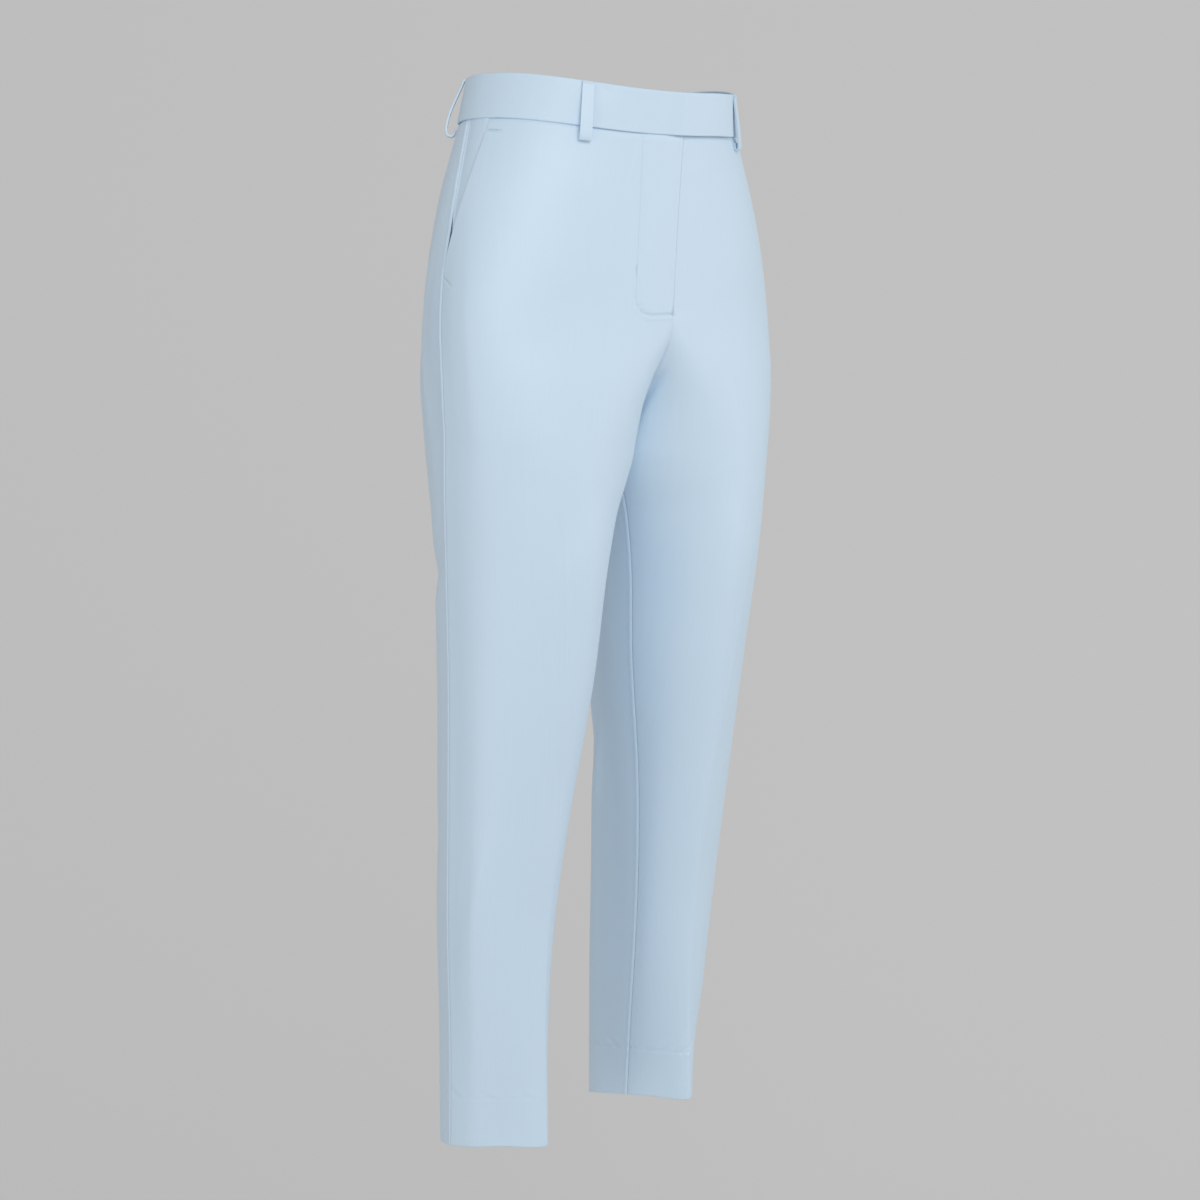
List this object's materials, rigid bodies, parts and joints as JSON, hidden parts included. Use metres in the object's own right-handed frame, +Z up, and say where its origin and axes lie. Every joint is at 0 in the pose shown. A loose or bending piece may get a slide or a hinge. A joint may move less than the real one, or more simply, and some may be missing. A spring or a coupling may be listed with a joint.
{
  "type": "straight-leg trousers",
  "caption": "High-rise slim straight-leg trousers with belt loops, slanted pockets, a hidden fly and pressed creases, filled out as if worn.",
  "frame": {"origin": "centre of the waist, at half the waistband's height, where the wearer's waist holds the garment", "axes": "+Z up along the body, -Y the front, -X the wearer's right"},
  "size_m": [0.3778, 0.2245, 0.9689],
  "materials": {
    "cloth": "pale blue smooth woven suiting with a soft sheen"
  },
  "bodies": {
    "root": {"front_right": "cloth", "front_left": "cloth", "back_right": "cloth", "back_left": "cloth", "pocket_facing_right": "cloth", "pocket_facing_left": "cloth", "waistband_right": "cloth", "waistband_left": "cloth", "belt_loop_front_right": "cloth", "belt_loop_front_left": "cloth", "belt_loop_back_right": "cloth", "belt_loop_back_left": "cloth", "belt_loop_back_centre": "cloth"}
  },
  "joints": []
}
